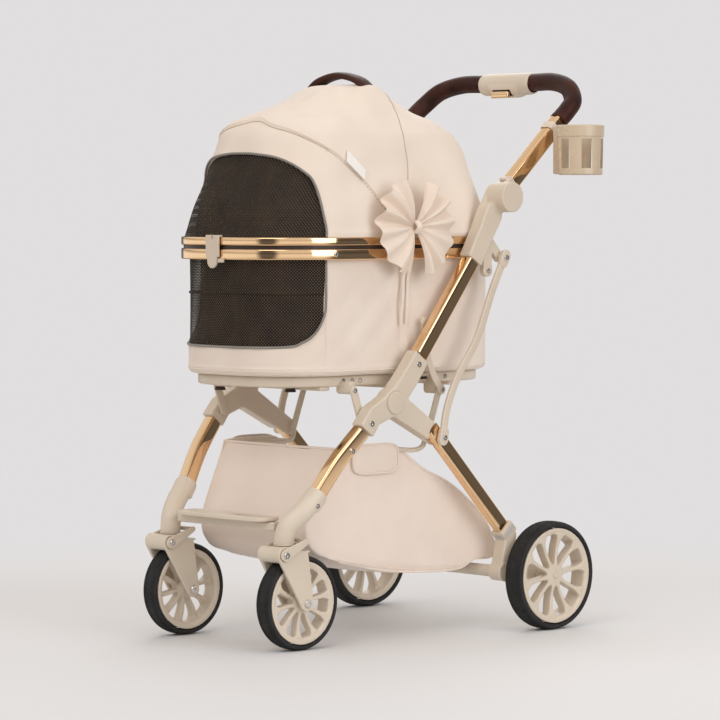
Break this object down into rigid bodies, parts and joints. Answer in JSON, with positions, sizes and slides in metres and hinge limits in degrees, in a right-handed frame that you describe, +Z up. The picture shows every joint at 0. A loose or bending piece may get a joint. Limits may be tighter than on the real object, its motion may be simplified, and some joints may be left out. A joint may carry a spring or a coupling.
{
  "type": "pet stroller",
  "caption": "Folding four-wheeled pet stroller with a lift-off fabric pod, hinged canopy with mesh window, swivel front casters, lower basket and adjustable handle.",
  "frame": {"origin": "on the floor under the middle of the bounding box", "axes": "+Z up, the stroller's front faces -Y, its left side faces +X"},
  "size_m": [0.6036, 0.801, 1.0428],
  "materials": {
    "cream_fabric": "fine plain weave, matt",
    "beige_plastic": "satin moulded",
    "gold_metal": "polished champagne gold anodised",
    "brown_leather": "stitched, satin",
    "tyre_rubber": "matt with fine tread",
    "spring_steel": "polished"
  },
  "bodies": {
    "frame": {"hub_left": "beige_plastic", "hub_right": "beige_plastic", "lower_tube_left": "gold_metal", "lower_tube_right": "gold_metal", "front_tube_left": "gold_metal", "front_tube_right": "gold_metal", "neck_left": "beige_plastic", "neck_right": "beige_plastic", "joint_housing_left": "beige_plastic", "joint_housing_right": "beige_plastic", "brace_left": "beige_plastic", "brace_right": "beige_plastic", "front_link_left": "beige_plastic", "front_link_right": "beige_plastic", "curved_link_left": "beige_plastic", "curved_link_right": "beige_plastic", "inner_link_left": "beige_plastic", "inner_link_right": "beige_plastic", "front_crossbar": "beige_plastic", "footrest": "beige_plastic", "base_frame": "beige_plastic", "basket": "cream_fabric"},
    "rear_frame": {"rear_tube_left": "gold_metal", "rear_tube_right": "gold_metal", "rear_foot_left": "beige_plastic", "rear_foot_right": "beige_plastic", "axle_bar": "beige_plastic"},
    "brake": {"brake_pedal": "beige_plastic"},
    "handle": {"joint_disc_left": "beige_plastic", "joint_disc_right": "beige_plastic", "upper_tube_left": "gold_metal", "upper_tube_right": "gold_metal", "grip": "brown_leather", "control_housing": "beige_plastic", "cup_clamp": "beige_plastic", "cup_holder": "beige_plastic"},
    "handle_release": {"release_button": "gold_metal"},
    "pod": {"tub": "cream_fabric", "lower_ring": "gold_metal", "floor_cushion": "cream_fabric"},
    "canopy_lid": {"canopy": "cream_fabric", "upper_ring": "gold_metal", "carry_handle": "brown_leather"},
    "lid_latch": {"latch": "beige_plastic"},
    "joint_release_left": {"joint_button_left": "beige_plastic"},
    "caster_left": {"front_left_crown": "beige_plastic", "front_left_spring": "spring_steel"},
    "fork_left": {"front_left_fork": "beige_plastic"},
    "front_wheel_left": {"front_left_tyre": "tyre_rubber", "front_left_rim": "beige_plastic"},
    "rear_wheel_left": {"rear_left_tyre": "tyre_rubber", "rear_left_rim": "beige_plastic"},
    "joint_release_right": {"joint_button_right": "beige_plastic"},
    "caster_right": {"front_right_crown": "beige_plastic", "front_right_spring": "spring_steel"},
    "fork_right": {"front_right_fork": "beige_plastic"},
    "front_wheel_right": {"front_right_tyre": "tyre_rubber", "front_right_rim": "beige_plastic"},
    "rear_wheel_right": {"rear_right_tyre": "tyre_rubber", "rear_right_rim": "beige_plastic"}
  },
  "joints": [
    {"name": "rear_fold", "type": "hinge", "parent": "frame", "child": "rear_frame", "pos_m": [-0.03025, -0.0195, 0.3668], "axis": [-1, 0, 0], "range_deg": [0, 60], "deforming": ["basket"]},
    {"name": "brake_press", "type": "hinge", "parent": "rear_frame", "child": "brake", "pos_m": [-0.03025, 0.1435, 0.1098], "axis": [-1, 0, 0], "range_deg": [0, 18]},
    {"name": "handle_fold", "type": "hinge", "parent": "frame", "child": "handle", "pos_m": [-0.03025, 0.1435, 0.8028], "axis": [-1, 0, 0], "range_deg": [-40, 90]},
    {"name": "release_press", "type": "slide", "parent": "handle", "child": "handle_release", "axis": [0, 1, 0], "range_m": [0, 0.003], "stiffness_N_per_m": 400, "springref_m": -0.004},
    {"name": "pod_lift", "type": "slide", "parent": "frame", "child": "pod", "axis": [0, 0, 1], "range_m": [0, 0.22]},
    {"name": "canopy_open", "type": "hinge", "parent": "pod", "child": "canopy_lid", "pos_m": [-0.03025, 0.2325, 0.7131], "axis": [-1, 0, 0], "range_deg": [0, 48]},
    {"name": "latch_flip", "type": "hinge", "parent": "canopy_lid", "child": "lid_latch", "pos_m": [-0.03025, -0.3775, 0.7328], "axis": [-1, 0, 0], "range_deg": [0, 75]},
    {"name": "joint_press_left", "type": "slide", "parent": "handle", "child": "joint_release_left", "axis": [-1, 0, 0], "range_m": [0, 0.002], "stiffness_N_per_m": 400, "springref_m": -0.003},
    {"name": "caster_swivel_left", "type": "hinge", "parent": "frame", "child": "caster_left", "pos_m": [0.12525, -0.3465, 0.1878], "axis": [0, 0, 1], "continuous": true},
    {"name": "suspension_left", "type": "hinge", "parent": "caster_left", "child": "fork_left", "pos_m": [0.12525, -0.3695, 0.1738], "axis": [1, 0, 0], "range_deg": [0, 5], "stiffness_Nm_per_rad": 25, "springref_deg": -11.46, "deforming": ["front_left_spring"]},
    {"name": "front_wheel_spin_left", "type": "hinge", "parent": "fork_left", "child": "front_wheel_left", "pos_m": [0.12525, -0.3155, 0.085], "axis": [1, 0, 0], "continuous": true},
    {"name": "rear_wheel_spin_left", "type": "hinge", "parent": "rear_frame", "child": "rear_wheel_left", "pos_m": [0.22125, 0.2305, 0.1008], "axis": [1, 0, 0], "continuous": true},
    {"name": "joint_press_right", "type": "slide", "parent": "handle", "child": "joint_release_right", "axis": [1, 0, 0], "range_m": [0, 0.002], "stiffness_N_per_m": 400, "springref_m": -0.003},
    {"name": "caster_swivel_right", "type": "hinge", "parent": "frame", "child": "caster_right", "pos_m": [-0.18575, -0.3465, 0.1878], "axis": [0, 0, 1], "continuous": true},
    {"name": "suspension_right", "type": "hinge", "parent": "caster_right", "child": "fork_right", "pos_m": [-0.18575, -0.3695, 0.1738], "axis": [1, 0, 0], "range_deg": [0, 5], "stiffness_Nm_per_rad": 25, "springref_deg": -11.46, "deforming": ["front_right_spring"]},
    {"name": "front_wheel_spin_right", "type": "hinge", "parent": "fork_right", "child": "front_wheel_right", "pos_m": [-0.18575, -0.3155, 0.085], "axis": [1, 0, 0], "continuous": true},
    {"name": "rear_wheel_spin_right", "type": "hinge", "parent": "rear_frame", "child": "rear_wheel_right", "pos_m": [-0.28175, 0.2305, 0.1008], "axis": [1, 0, 0], "continuous": true}
  ]
}
